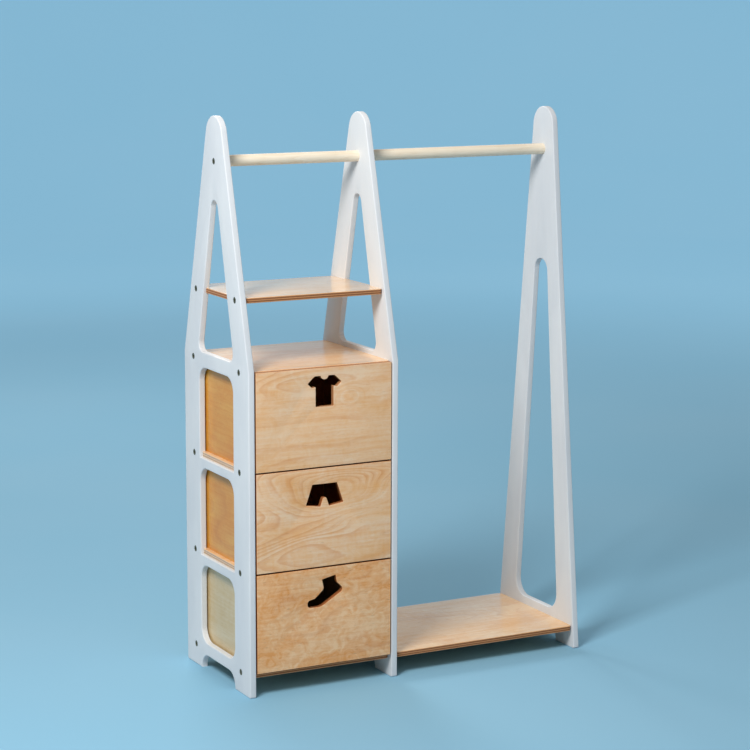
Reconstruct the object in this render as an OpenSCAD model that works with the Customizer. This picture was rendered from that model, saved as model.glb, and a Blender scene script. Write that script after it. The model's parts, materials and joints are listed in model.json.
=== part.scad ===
// Clothing rack with drawers: three plywood gables, two rails, shelves and three drawers.
// X runs to the right, Y to the back and Z up.
// The origin is on the floor, at the middle of the footprint.

/* [Overall] */
// Height of the gable tips above the floor
height = 1300; // [1240:5:1400]
// Depth of the gables, front to back
depth = 358; // [340:2:400]
// Clear width of the bay that holds the drawers
drawer_bay_w = 345; // [300:5:420]
// Clear width of the open bay under the long rail
hanging_bay_w = 486; // [400:2:600]

/* [Gables] */
// Thickness of the gables
gable_t = 15; // [13:0.5:20]
// Radius of the gable tips
tip_r = 44; // [38:1:50]
// Rise of the shoulders above the cabinet top
shoulder_rise = 1; // [0.5:0.5:6]
// Width of the upright on each side of a window
stile_w = 84; // [76:1:95]
// Radius of the outer corners of the feet
foot_corner_r = 4; // [2:1:10]
// Radius of the corners of the windows and foot arches
window_r = 35; // [20:1:35]
// Height of the arch between the feet
arch_h = 36; // [35.5:0.5:39]
// Height of the bar between the arch and the bottom window
foot_bar_h = 29; // [22:1:40]
// Height of the bar between one window and the divider above it
rung_h = 22; // [14:1:32]
// Height of the bar between the top window and the triangle
neck_bar_h = 35.5; // [31:0.5:45]

/* [Triangle and slot] */
// Height of the floor of the triangle above the shoulders
triangle_rise = 10; // [4:1:20]
// Width of each leg beside the floor of the triangle
triangle_leg_w = 79; // [70:1:90]
// Distance from the gable tip down to the top of the triangle
triangle_drop = 189; // [170:1:210]
// Radius of the top of the triangle
triangle_tip_r = 20; // [14:1:22]
// Radius of the two lower corners of the triangle
triangle_corner_r = 20; // [10:1:26]
// Height of the floor of the slot in the right gable
slot_floor = 75; // [65:1:90]
// Width of each leg beside the floor of the slot
slot_leg_w = 81; // [72:1:90]
// Distance from the gable tip down to the top of the slot
slot_drop = 367; // [320:1:420]
// Radius of the top of the slot
slot_tip_r = 29; // [20:1:31]
// Radius of the two lower corners of the slot
slot_corner_r = 40; // [20:1:46]

/* [Boards] */
// Thickness of the shelves and dividers
board_t = 12; // [10:0.5:15]
// Radius of the rounded corners of the boards
board_corner_r = 10; // [5:1:14]
// Height of the underside of the cabinet base and the low shelf
base_z = 43; // [40:1:48]
// Distance from the base up to the lower divider, and from that to the upper divider
drawer_pitch = 231.5; // [215:0.5:250]
// Distance from the upper divider up to the cabinet top
top_drawer_pitch = 227; // [215:0.5:250]
// Clear height between the cabinet top and the upper shelf
open_shelf_h = 148; // [120:1:180]
// Depth of the upper shelf
upper_shelf_d = 260; // [240:2:264]
// Distance from the back edges of the gables to those of the cabinet boards
board_back_setback = 13; // [8:1:24]
// Distance from the front and back edges of the gables to those of the low shelf
low_shelf_setback = 10; // [6:1:20]
// Depth of the housings that the ends of the boards sit in
housing_depth = 7.5; // [5:0.5:8]
// Distance from the edges of a board to the ends of its tongues
tongue_inset = 20; // [18:1:28]

/* [Rails] */
// Diameter of the rails
rail_d = 26; // [22:1:30]
// Distance from the gable tip down to the axis of the rails
rail_drop = 101.5; // [90:0.5:115]
// Depth of the sockets that the ends of the rails sit in
rail_socket_depth = 4; // [2:0.5:5]

/* [Drawers] */
// Thickness of the drawer fronts
front_t = 12; // [10:0.5:15]
// Gap between a drawer and the gable on each side of it
drawer_side_gap = 3; // [2:0.5:5]
// Gap between a drawer front and the top of the board it stands over
front_foot_gap = 0.5; // [0.3:0.1:1.5]
// Distance from the top of the two lower drawer fronts up to the top of the board behind them
front_head_gap = 3; // [2:0.5:6]
// Distance from the top of the top drawer front up to the cabinet top's upper face
top_head_gap = 1; // [0.5:0.5:6]
// Gap between a closed drawer front and the edges of the boards
front_stop_gap = 0.5; // [0.3:0.1:1]
// Thickness of the drawer sides and backs
box_t = 9; // [8:0.5:12]
// Length of the drawer box behind its front
box_l = 325; // [290:1:330]
// Gap between the top of a drawer box and the board above it
box_head_gap = 8; // [4:1:12]
// Thickness of the drawer bottoms
bottom_t = 6; // [4:0.5:8]
// Height of a drawer bottom above the lower edges of its sides
bottom_lift = 6; // [5:0.5:10]
// Depth of the grooves and housings in the drawer pieces
box_groove_d = 4; // [3:0.5:5]
// Running gap between a drawer and the board that it slides on
slide_gap = 0.3; // [0.2:0.1:0.6]

/* [Finger cut-outs] */
// Distance from the top of the drawer front to the top of the T-shirt
shirt_drop = 18; // [12:1:40]
// Distance from the top of the drawer front to the top of the shorts
shorts_drop = 36.5; // [16:0.5:60]
// Distance from the top of the drawer front to the top of the sock
sock_drop = 20; // [14:1:50]
// Radius that the cutter leaves in the corners of the cut-outs
cutter_r = 1.5; // [1:0.25:2]

/* [Screws] */
// Diameter of the heads of the gable screws
head_d = 14.5; // [10:0.5:15]
// Thickness of the heads of the gable screws
head_t = 3; // [2:0.5:4]
// Diameter of the shanks of the gable screws
shank_d = 5; // [4:0.5:6]
// Length of the gable screws
screw_l = 50; // [40:1:60]
// Width across the flats of the hexagon sockets
hex_w = 5; // [4:0.5:6]
// Distance from the front and back edges of the gables to the screws of the cabinet boards
screw_edge = 52; // [44:1:60]
// Distance from the front and back edges of the gables to the screws of the upper shelf
upper_screw_edge = 71; // [68:1:78]
// Length of the double-ended screws through the middle gable
through_l = 75; // [60:1:90]
// Diameter of the heads of the drawer screws
box_head_d = 7; // [6:0.5:8]
// Diameter of the shanks of the drawer screws
box_shank_d = 3.5; // [3:0.25:4]
// Length of the drawer screws
box_screw_l = 35; // [25:1:45]
// Width across the flats of the hexagon sockets of the drawer screws
box_hex_w = 2.5; // [2:0.25:3]
// Distance from the lower and upper edges of a drawer side to its outer screws
box_screw_edge = 35; // [25:1:60]

/* [Hidden] */
$fn = 96;
// Clearance round a tongue in its housing, and round a panel in its groove
wood_gap = 0.1;
// Radial clearance round the shank or head of a screw
screw_gap = 0.05;
// Extra length that carries a cut past the face it starts from
cut = 1;
// Extra radius that makes each arc cross the sides that it joins, where exact contact would leave slivers
arc_overlap = 0.01;

// Places across the width: the left face of each gable, and the middle of the drawer bay
width = 3 * gable_t + drawer_bay_w + hanging_bay_w;
left_x = -width / 2;
middle_x = left_x + gable_t + drawer_bay_w;
right_x = middle_x + gable_t + hanging_bay_w;
bay_x = left_x + gable_t;
hang_x = middle_x + gable_t;
drawer_mid_x = bay_x + drawer_bay_w / 2;

// Heights of the undersides of the boards
lower_divider_z = base_z + drawer_pitch;
upper_divider_z = lower_divider_z + drawer_pitch;
cabinet_top_z = upper_divider_z + top_drawer_pitch;
upper_shelf_z = cabinet_top_z + board_t + open_shelf_h;
shoulder_h = cabinet_top_z + board_t + shoulder_rise;
rail_z = height - rail_drop;

// Front and back edges of the cabinet boards
board_y0 = -depth / 2 + front_t + front_stop_gap;
board_y1 = depth / 2 - board_back_setback;
low_shelf_half_d = depth / 2 - low_shelf_setback;

// Drawers, counted from the top: the board each runs on, and the board above it
run_z = [upper_divider_z + board_t, lower_divider_z + board_t, base_z + board_t];
roof_z = [cabinet_top_z, upper_divider_z, lower_divider_z];
drawer_w = drawer_bay_w - 2 * drawer_side_gap;
drawer_x0 = bay_x + drawer_side_gap;
front_y0 = -depth / 2;
box_y0 = front_y0 + front_t;
box_y1 = box_y0 + box_l;

// Screw rows, as distances from the middle of the depth
screw_y = depth / 2 - screw_edge;
upper_screw_y = depth / 2 - upper_screw_edge;

paint = "#dfe4e8";
birch = "#d9b48c";
birch_side = "#d8a468";
rail_wood = "#efdfc8";
dark_steel = "#4a4642";

// Direction from a to b, as a vector of length 1
function along(a, b) = (b - a) / norm(b - a);
// Plan position of an outline point, without its radius
function at(p) = [p[0], p[1]];
// Angle that the outline turns through at b, positive to the left
function turn(a, b, c) =
    let (u = along(a, b), v = along(b, c))
    atan2(u[0] * v[1] - u[1] * v[0], u[0] * v[0] + u[1] * v[1]);
// Distance from a corner to the ends of its arc
function cutback(a, b, c, r) = r * tan(abs(turn(a, b, c)) / 2);
// Centre of the arc that rounds a corner
function arc_centre(a, b, c, r) =
    let (half = abs(turn(a, b, c)) / 2, mid = along(b, a) + along(b, c))
    b + mid / norm(mid) * r / cos(half);

// Closed outline with rounded corners. Each point is [x, y, radius], and the list runs anticlockwise.
// A whole circle makes each arc, so its radius is at most half the width of the shape beside it.
module rounded(points) {
    n = len(points);
    prev = [for (i = [0:n - 1]) at(points[(i + n - 1) % n])];
    here = [for (p = points) at(p)];
    next = [for (i = [0:n - 1]) at(points[(i + 1) % n])];
    r = [for (p = points) p[2]];
    bend = [for (i = [0:n - 1]) r[i] == 0 ? 0 : turn(prev[i], here[i], next[i])];
    reach = [for (i = [0:n - 1]) cutback(prev[i], here[i], next[i], r[i])];
    centre = [for (i = [0:n - 1]) arc_centre(prev[i], here[i], next[i], r[i])];
    difference() {
        union() {
            polygon([for (i = [0:n - 1])
                each (r[i] == 0 ? [here[i]] : [here[i] + along(here[i], prev[i]) * reach[i],
                    here[i] + along(here[i], next[i]) * reach[i]])]);
            for (i = [0:n - 1])
                if (bend[i] > 0) translate(centre[i]) circle(r[i] + arc_overlap);
        }
        for (i = [0:n - 1])
            if (bend[i] < 0) translate(centre[i]) circle(r[i] + arc_overlap);
    }
}

// Lean from the vertical of a side that runs from a base corner to a round tip
function lean(half_w, rise, r) = atan(half_w / (rise - r)) - asin(r / norm([half_w, rise - r]));
// Corner point at which the two leaning sides would meet
function peak(z1, half_w, rise, r) = [0, z1 - r + r / sin(lean(half_w, rise, r)), r];

// Tall triangle from height z0 to a round tip at height z1
module taper(half_w, z0, z1, point_r, corner_r) {
    rounded([[-half_w, z0, corner_r], [half_w, z0, corner_r], peak(z1, half_w, z1 - z0, point_r)]);
}

// Window between two heights, with square or rounded lower corners
module window(z0, z1, lower_r) {
    half_w = depth / 2 - stile_w;
    rounded([[-half_w, z0, lower_r], [half_w, z0, lower_r],
        [half_w, z1, window_r], [-half_w, z1, window_r]]);
}

module foot_arch() {
    window(-window_r - cut, arch_h, 0);
}

// Outline of the two gables beside the drawers
module cabinet_gable_outline() {
    half_w = depth / 2;
    triangle_floor = shoulder_h + triangle_rise;
    difference() {
        rounded([[-half_w, 0, foot_corner_r], [half_w, 0, foot_corner_r], [half_w, shoulder_h, 0],
            peak(height, half_w, height - shoulder_h, tip_r), [-half_w, shoulder_h, 0]]);
        taper(half_w - triangle_leg_w, triangle_floor, height - triangle_drop,
            triangle_tip_r, triangle_corner_r);
        window(upper_divider_z, triangle_floor - neck_bar_h, 0);
        window(lower_divider_z, upper_divider_z - rung_h, 0);
        window(arch_h + foot_bar_h, lower_divider_z - rung_h, window_r);
        foot_arch();
    }
}

module right_gable_outline() {
    difference() {
        rounded([[-depth / 2, 0, foot_corner_r], [depth / 2, 0, foot_corner_r],
            peak(height, depth / 2, height, tip_r)]);
        taper(depth / 2 - slot_leg_w, slot_floor, height - slot_drop, slot_tip_r, slot_corner_r);
        foot_arch();
    }
}

// Upright plate that starts at x and is t thick, from an outline drawn in depth and height
module upright(x, t) {
    translate([x, 0, 0]) rotate([90, 0, 90]) linear_extrude(t) children();
}

// Rod along X from x, centred on depth y and height z
module rod(x, y, z, d, l) {
    translate([x, y, z]) rotate([0, 90, 0]) cylinder(d = d, h = l);
}

// Housing with round ends, cut from x over length l, for the tongue of a board between y0 and y1
module housing(x, l, y0, y1, z) {
    r = board_t / 2 + wood_gap;
    ya = y0 + tongue_inset;
    yb = y1 - tongue_inset;
    translate([x, ya, z - wood_gap]) cube([l, yb - ya, 2 * r]);
    rod(x, ya, z + board_t / 2, 2 * r, l);
    rod(x, yb, z + board_t / 2, 2 * r, l);
}

// Housings for the boards in the drawer bay. x is the face that the boards meet, and inward is 1
// where the gable's body lies to the right of that face and -1 where it lies to the left.
module cabinet_housings(x, inward) {
    depth_in = housing_depth + wood_gap;
    start = inward > 0 ? x - cut : x - depth_in;
    for (z = [base_z, lower_divider_z, upper_divider_z, cabinet_top_z])
        housing(start, depth_in + cut, board_y0, board_y1, z);
    housing(start, depth_in + cut, -upper_shelf_d / 2, upper_shelf_d / 2, upper_shelf_z);
}

// Place of each screw of the drawer bay boards, as [y, z]
function board_screws(with_base) = [
    for (z = concat(with_base ? [base_z] : [], [lower_divider_z, upper_divider_z, cabinet_top_z]))
        for (s = [-1, 1]) [s * screw_y, z + board_t / 2],
    for (s = [-1, 1]) [s * upper_screw_y, upper_shelf_z + board_t / 2]];

// Place of each screw at the level of the base
base_screws = [for (s = [-1, 1]) [s * screw_y, base_z + board_t / 2]];

// Hole for a gable screw: shank right through, and a seat for the head in the face at x
module screw_hole(x, dir, y, z) {
    low = dir > 0 ? x - cut : x - screw_l - screw_gap;
    rod(low, y, z, shank_d + 2 * screw_gap, screw_l + screw_gap + cut);
    seat = head_t + screw_gap;
    rod(dir > 0 ? x - cut : x - seat, y, z, head_d + 2 * screw_gap, seat + cut);
}

// Gable screw with its head in the face at x, pointing to the right where dir is 1
module screw(x, dir, y, z) {
    translate([x, y, z]) rotate([0, 90 * dir, 0]) difference() {
        union() {
            cylinder(d = head_d, h = head_t);
            cylinder(d = shank_d, h = screw_l);
        }
        translate([0, 0, -cut]) cylinder(d = hex_w / cos(30), h = cut + head_t * 2 / 3, $fn = 6);
    }
}

// Double-ended screw through the middle gable, and the hole for it
module through_screw(y, z, gap) {
    rod(middle_x + gable_t / 2 - through_l / 2 - gap, y, z, shank_d + 2 * gap, through_l + 2 * gap);
}

module left_gable() color(paint)
    difference() {
        upright(left_x, gable_t) cabinet_gable_outline();
        cabinet_housings(bay_x, -1);
        rod(bay_x - rail_socket_depth, 0, rail_z, rail_d + 2 * wood_gap, rail_socket_depth + cut);
        for (p = board_screws(true)) screw_hole(left_x, 1, p[0], p[1]);
        screw_hole(left_x, 1, 0, rail_z);
    }

module middle_gable() color(paint)
    difference() {
        upright(middle_x, gable_t) cabinet_gable_outline();
        cabinet_housings(middle_x, 1);
        for (x = [middle_x - cut, hang_x - rail_socket_depth])
            rod(x, 0, rail_z, rail_d + 2 * wood_gap, rail_socket_depth + cut);
        for (p = board_screws(false)) screw_hole(hang_x, -1, p[0], p[1]);
        for (p = base_screws) through_screw(p[0], p[1], screw_gap);
        through_screw(0, rail_z, screw_gap);
    }

module right_gable() color(paint)
    difference() {
        upright(right_x, gable_t) right_gable_outline();
        housing(right_x - cut, housing_depth + wood_gap + cut,
            -low_shelf_half_d, low_shelf_half_d, base_z);
        rod(right_x - cut, 0, rail_z, rail_d + 2 * wood_gap, rail_socket_depth + cut);
        for (p = base_screws) screw_hole(right_x + gable_t, -1, p[0], p[1]);
        screw_hole(right_x + gable_t, -1, 0, rail_z);
    }

// Rail between the bottoms of the sockets of two gables
module rail(x, l) {
    rod(x - rail_socket_depth + wood_gap, 0, rail_z, rail_d, l + 2 * rail_socket_depth - 2 * wood_gap);
}

module short_rail() color(rail_wood)
    difference() {
        rail(bay_x, drawer_bay_w);
        screw_hole(left_x, 1, 0, rail_z);
        through_screw(0, rail_z, screw_gap);
    }

module long_rail() color(rail_wood)
    difference() {
        rail(hang_x, hanging_bay_w);
        screw_hole(right_x + gable_t, -1, 0, rail_z);
        through_screw(0, rail_z, screw_gap);
    }

// Board between two gables, with rounded corners and a tongue into the gable at each listed end
module board(x, w, y0, y1, z, left_tongue, right_tongue) {
    r = board_corner_r;
    translate([0, 0, z]) linear_extrude(board_t)
        union() {
            rounded([[x + wood_gap, y0, r], [x + w - wood_gap, y0, r],
                [x + w - wood_gap, y1, r], [x + wood_gap, y1, r]]);
            translate([x - (left_tongue ? housing_depth : -wood_gap), y0 + tongue_inset])
                square([w + (left_tongue ? housing_depth : -wood_gap)
                    + (right_tongue ? housing_depth : -wood_gap), y1 - y0 - 2 * tongue_inset]);
        }
}

module cabinet_board(z) color(birch)
    difference() {
        board(bay_x, drawer_bay_w, board_y0, board_y1, z, true, true);
        for (s = [-1, 1]) {
            screw_hole(left_x, 1, s * screw_y, z + board_t / 2);
            screw_hole(hang_x, -1, s * screw_y, z + board_t / 2);
        }
    }

module cabinet_top() cabinet_board(cabinet_top_z);
module upper_divider() cabinet_board(upper_divider_z);
module lower_divider() cabinet_board(lower_divider_z);

module cabinet_base() color(birch)
    difference() {
        board(bay_x, drawer_bay_w, board_y0, board_y1, base_z, true, true);
        for (p = base_screws) {
            screw_hole(left_x, 1, p[0], p[1]);
            through_screw(p[0], p[1], screw_gap);
        }
    }

module low_shelf() color(birch)
    difference() {
        board(hang_x, hanging_bay_w, -low_shelf_half_d, low_shelf_half_d, base_z, false, true);
        for (p = base_screws) {
            screw_hole(right_x + gable_t, -1, p[0], p[1]);
            through_screw(p[0], p[1], screw_gap);
        }
    }

module upper_shelf() color(birch)
    difference() {
        board(bay_x, drawer_bay_w, -upper_shelf_d / 2, upper_shelf_d / 2, upper_shelf_z, true, true);
        for (s = [-1, 1]) {
            screw_hole(left_x, 1, s * upper_screw_y, upper_shelf_z + board_t / 2);
            screw_hole(hang_x, -1, s * upper_screw_y, upper_shelf_z + board_t / 2);
        }
    }

// Lower edge and height of the front, and of the box behind it, of drawer i
function front_z(i) = run_z[i] + front_foot_gap;
function front_h(i) = roof_z[i] + board_t - (i == 0 ? top_head_gap : front_head_gap) - front_z(i);
function front_top(i) = front_z(i) + front_h(i);
function box_z(i) = run_z[i] + slide_gap;
function box_h(i) = roof_z[i] - box_head_gap - box_z(i);

function bottom_z(i) = box_z(i) + bottom_lift;
// Heights of the three screws through each end of a drawer back
function box_screw_z(i) =
    let (low = box_z(i) + box_screw_edge, high = box_z(i) + box_h(i) - box_screw_edge)
    [low, (low + high) / 2, high];

// Left half of a garment outline, as the mirror image of the right half
function mirrored(half) = [for (i = [len(half) - 1:-1:0]) [-half[i][0], half[i][1], half[i][2]]];

// The garments are drawn in width and height, from the middle of the drawer and the top of the garment.
module shirt_outline() {
    hem = [22.5, -70, cutter_r];
    armpit = [22.5, -24, cutter_r];
    sleeve_under = [31.5, -26.5, cutter_r];
    sleeve_tip = [42.5, -16, cutter_r];
    shoulder = [25, 0, 6];
    half = [hem, armpit, sleeve_under, sleeve_tip, shoulder];
    neck_r = 10;
    neck_drop = 8.5;
    difference() {
        rounded(concat(half, mirrored(half)));
        translate([0, neck_r - neck_drop]) circle(neck_r);
    }
}

module shorts_outline() {
    crotch = [0, -20, 5.5];
    inner_hem = [11, -52, cutter_r];
    outer_hem = [47, -46.5, cutter_r];
    waist = [31, 0, cutter_r];
    half = [inner_hem, outer_hem, waist];
    rounded(concat(half, mirrored(half), [crotch]));
}

module sock_outline() {
    cuff = [[27.5, 0, cutter_r], [-7, -7.5, cutter_r]];
    instep = [[-2, -29.5, 10], [-25, -50.5, 6]];
    toe = [[-43.5, -54, 8], [-43.5, -70.5, 8]];
    ball = [[-14, -70.5, 8], [-5, -68, 8]];
    heel = [[44, -39, 8], [44, -30.5, 6]];
    ankle = [[30.5, -17.5, 8]];
    rounded(concat(cuff, instep, toe, ball, heel, ankle));
}

// Drawer front with a finger cut-out, a rebate for each side and a groove for the bottom
module drawer_front(i, drop) color(birch)
    difference() {
        translate([drawer_x0, front_y0, front_z(i)]) cube([drawer_w, front_t, front_h(i)]);
        translate([drawer_mid_x, box_y0 + cut, front_top(i) - drop])
            rotate([90, 0, 0]) linear_extrude(front_t + 2 * cut) children();
        rebate_w = box_t + wood_gap;
        for (x = [drawer_x0 - cut, drawer_x0 + drawer_w - rebate_w])
            translate([x, box_y0 - box_groove_d, box_z(i) - cut])
                cube([rebate_w + cut, box_groove_d + cut, box_h(i) + wood_gap + cut]);
        bottom_groove(i);
    }

// Groove that runs round a drawer for its bottom, and that the back of the box leaves open
module bottom_groove(i) {
    side_reach = box_t - box_groove_d;
    translate([drawer_x0 + side_reach, box_y0 - box_groove_d, bottom_z(i) - wood_gap])
        cube([drawer_w - 2 * side_reach, box_l + box_groove_d + cut, bottom_t + 2 * wood_gap]);
}

// Drawer side whose left face is at x, and whose outer face is at outer_x
module drawer_side(i, x, outer_x) color(birch_side)
    difference() {
        translate([x, box_y0 - box_groove_d + wood_gap, box_z(i)])
            cube([box_t, box_l + box_groove_d - wood_gap, box_h(i)]);
        bottom_groove(i);
        for (z = box_screw_z(i)) box_screw_body(outer_x, outer_x < drawer_mid_x ? 1 : -1, z, screw_gap);
    }

module drawer_left_side(i) drawer_side(i, drawer_x0, drawer_x0);
module drawer_right_side(i) drawer_side(i, drawer_x0 + drawer_w - box_t, drawer_x0 + drawer_w);

module drawer_back(i) color(birch_side)
    difference() {
        z0 = bottom_z(i) + bottom_t + wood_gap;
        translate([drawer_x0 + box_t, box_y1 - box_t, z0])
            cube([drawer_w - 2 * box_t, box_t, box_z(i) + box_h(i) - z0]);
        for (z = box_screw_z(i)) {
            box_screw_body(drawer_x0, 1, z, screw_gap);
            box_screw_body(drawer_x0 + drawer_w, -1, z, screw_gap);
        }
    }

module drawer_bottom(i) color(birch_side) {
    reach = box_groove_d - wood_gap;
    translate([drawer_x0 + box_t - reach, box_y0 - reach, bottom_z(i)])
        cube([drawer_w - 2 * box_t + 2 * reach, box_l + reach, bottom_t]);
}

// Countersunk drawer screw with its head in the face at x, made larger all round by gap
module box_screw_body(x, dir, z, gap) {
    head_h = (box_head_d - box_shank_d) / 2;
    translate([x, box_y1 - box_t / 2, z]) rotate([0, 90 * dir, 0]) {
        cylinder(d = box_shank_d + 2 * gap, h = box_screw_l + gap);
        cylinder(d1 = box_head_d + 2 * gap, d2 = box_shank_d + 2 * gap, h = head_h);
        if (gap > 0) translate([0, 0, -cut]) cylinder(d = box_head_d + 2 * gap, h = cut);
    }
}

module box_screw(x, dir, z)
    difference() {
        box_screw_body(x, dir, z, 0);
        translate([x, box_y1 - box_t / 2, z]) rotate([0, 90 * dir, 0])
            translate([0, 0, -cut]) cylinder(d = box_hex_w / cos(30), h = cut + box_hex_w, $fn = 6);
    }

module drawer_screws(i) color(dark_steel)
    for (z = box_screw_z(i)) {
        box_screw(drawer_x0, 1, z);
        box_screw(drawer_x0 + drawer_w, -1, z);
    }

module top_drawer_front() drawer_front(0, shirt_drop) shirt_outline();
module middle_drawer_front() drawer_front(1, shorts_drop) shorts_outline();
module bottom_drawer_front() drawer_front(2, sock_drop) sock_outline();
module top_drawer_left_side() drawer_left_side(0);
module middle_drawer_left_side() drawer_left_side(1);
module bottom_drawer_left_side() drawer_left_side(2);
module top_drawer_right_side() drawer_right_side(0);
module middle_drawer_right_side() drawer_right_side(1);
module bottom_drawer_right_side() drawer_right_side(2);
module top_drawer_back() drawer_back(0);
module middle_drawer_back() drawer_back(1);
module bottom_drawer_back() drawer_back(2);
module top_drawer_bottom() drawer_bottom(0);
module middle_drawer_bottom() drawer_bottom(1);
module bottom_drawer_bottom() drawer_bottom(2);
module top_drawer_screws() drawer_screws(0);
module middle_drawer_screws() drawer_screws(1);
module bottom_drawer_screws() drawer_screws(2);

module left_gable_screws() color(dark_steel) {
    for (p = board_screws(true)) screw(left_x, 1, p[0], p[1]);
    screw(left_x, 1, 0, rail_z);
}

module middle_gable_screws() color(dark_steel)
    for (p = board_screws(false)) screw(hang_x, -1, p[0], p[1]);

module right_gable_screws() color(dark_steel) {
    for (p = base_screws) screw(right_x + gable_t, -1, p[0], p[1]);
    screw(right_x + gable_t, -1, 0, rail_z);
}

module through_screws() color(dark_steel) {
    for (p = base_screws) through_screw(p[0], p[1], 0);
    through_screw(0, rail_z, 0);
}

left_gable();
middle_gable();
right_gable();
short_rail();
long_rail();
upper_shelf();
cabinet_top();
upper_divider();
lower_divider();
cabinet_base();
low_shelf();
top_drawer_front();
top_drawer_left_side();
top_drawer_right_side();
top_drawer_back();
top_drawer_bottom();
top_drawer_screws();
middle_drawer_front();
middle_drawer_left_side();
middle_drawer_right_side();
middle_drawer_back();
middle_drawer_bottom();
middle_drawer_screws();
bottom_drawer_front();
bottom_drawer_left_side();
bottom_drawer_right_side();
bottom_drawer_back();
bottom_drawer_bottom();
bottom_drawer_screws();
left_gable_screws();
middle_gable_screws();
right_gable_screws();
through_screws();
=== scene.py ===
"""Clothing rack with drawers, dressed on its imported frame.

Lengths are in metres. X runs to the right, Y to the back and Z up, and the origin is on the floor.
"""

import json
from math import asin, atan, cos, pi, radians, sin, tau

import bpy
import numpy as np
from bpy.props import FloatProperty, FloatVectorProperty, PointerProperty
from bpy.types import Operator, Panel, PropertyGroup
from mathutils import Matrix, Vector
from mathutils.geometry import tessellate_polygon

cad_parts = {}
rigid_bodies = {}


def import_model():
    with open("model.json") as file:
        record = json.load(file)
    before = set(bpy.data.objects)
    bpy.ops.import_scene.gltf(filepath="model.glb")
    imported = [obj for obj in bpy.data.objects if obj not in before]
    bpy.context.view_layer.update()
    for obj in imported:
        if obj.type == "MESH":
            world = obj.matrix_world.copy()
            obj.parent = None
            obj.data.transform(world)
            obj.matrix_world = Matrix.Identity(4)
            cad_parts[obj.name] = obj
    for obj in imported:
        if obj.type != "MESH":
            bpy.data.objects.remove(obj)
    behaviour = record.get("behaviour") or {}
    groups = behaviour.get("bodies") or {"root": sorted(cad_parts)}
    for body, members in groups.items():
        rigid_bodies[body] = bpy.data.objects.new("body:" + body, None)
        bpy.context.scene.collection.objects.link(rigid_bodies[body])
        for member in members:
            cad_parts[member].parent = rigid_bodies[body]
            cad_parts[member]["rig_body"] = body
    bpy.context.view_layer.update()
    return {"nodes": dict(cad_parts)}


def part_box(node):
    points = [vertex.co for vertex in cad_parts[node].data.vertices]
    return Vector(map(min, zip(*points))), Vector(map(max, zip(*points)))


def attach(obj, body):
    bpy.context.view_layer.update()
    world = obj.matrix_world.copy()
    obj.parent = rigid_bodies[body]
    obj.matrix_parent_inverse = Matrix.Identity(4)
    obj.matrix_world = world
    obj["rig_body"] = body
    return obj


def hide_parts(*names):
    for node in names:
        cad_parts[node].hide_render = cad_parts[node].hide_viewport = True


bl_info = {
    "name": "Clothing rack with drawers",
    "version": (1, 0, 0),
    "blender": (4, 5, 0),
    "location": "3D Viewport > Sidebar > Clothing rack",
    "description": "Painted and clear plywood clothing rack with three drawers and two rails",
    "category": "Add Mesh",
}

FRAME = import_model()
RIGHT, BACK, UP = Vector((1, 0, 0)), Vector((0, 1, 0)), Vector((0, 0, 1))
GABLES = ("left_gable", "middle_gable", "right_gable")
CABINET_BOARDS = ("cabinet_base", "lower_divider", "upper_divider", "cabinet_top")
DRAWERS = ("top_drawer", "middle_drawer", "bottom_drawer")
FACE_VENEER = 0.0004
GLUE_LINE = (0.06, 0.03, 0.015, 1.0)
RELIEF = 0.0002


def amount(name, description, default, **more):
    return FloatProperty(name=name, description=description, default=default, min=0.0, **more)


def length(name, description, default):
    return amount(name, description, default, precision=4, unit="LENGTH")


def colour(name, description, *display):
    """Colour property whose default is given as an 8-bit display colour."""
    share = np.array(display) / 255
    lit = np.where(share > 0.04045, ((share + 0.055) / 1.055) ** 2.4, share / 12.92)
    return FloatVectorProperty(name=name, description=description, default=(*lit.tolist(), 1.0),
                               size=4, min=0.0, max=1.0, subtype="COLOR")


class RackGables(PropertyGroup):
    arris: length("Arris", "Radius of the gables' softened edges", 0.0022)
    tip_radius: length("Tip radius", "Radius of the gable tips", 0.044)
    foot_radius: length("Foot radius", "Radius of the feet's outer corners", 0.004)
    shoulder: length("Shoulder height", "Height where the cabinet gables start to taper", 0.746)
    window_half: length("Window half width", "Half the width of the windows and foot arches", 0.095)
    window_radius: length("Window radius", "Radius of the window and arch corners", 0.035)
    arch: length("Arch height", "Height of the arch between the feet", 0.036)
    foot_bar: length("Foot bar", "Height of the bar over the foot arch", 0.029)
    rung: length("Rung", "Height of the bar between a window and its divider", 0.022)
    neck_bar: length("Neck bar", "Height of the bar under the triangle", 0.0355)
    triangle_floor: length("Triangle floor", "Height of the triangle's floor", 0.756)
    triangle_top: length("Triangle top", "Height of the triangle's round top", 1.111)
    triangle_half: length("Triangle half width", "Half the width of the triangle's floor", 0.1)
    triangle_radius: length("Triangle radius", "Radius of the triangle's corners", 0.02)
    slot_floor: length("Slot floor", "Height of the slot's floor", 0.075)
    slot_top: length("Slot top", "Height of the slot's round top", 0.933)
    slot_half: length("Slot half width", "Half the width of the slot's floor", 0.098)
    slot_tip_radius: length("Slot tip radius", "Radius of the slot's round top", 0.029)
    slot_radius: length("Slot corner radius", "Radius of the slot's lower corners", 0.04)
    paint: colour("Paint", "White of the painted plywood", 226, 227, 227)
    mottle: colour("Mottle", "Greyer white where the film is thin", 216, 218, 220)


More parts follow.
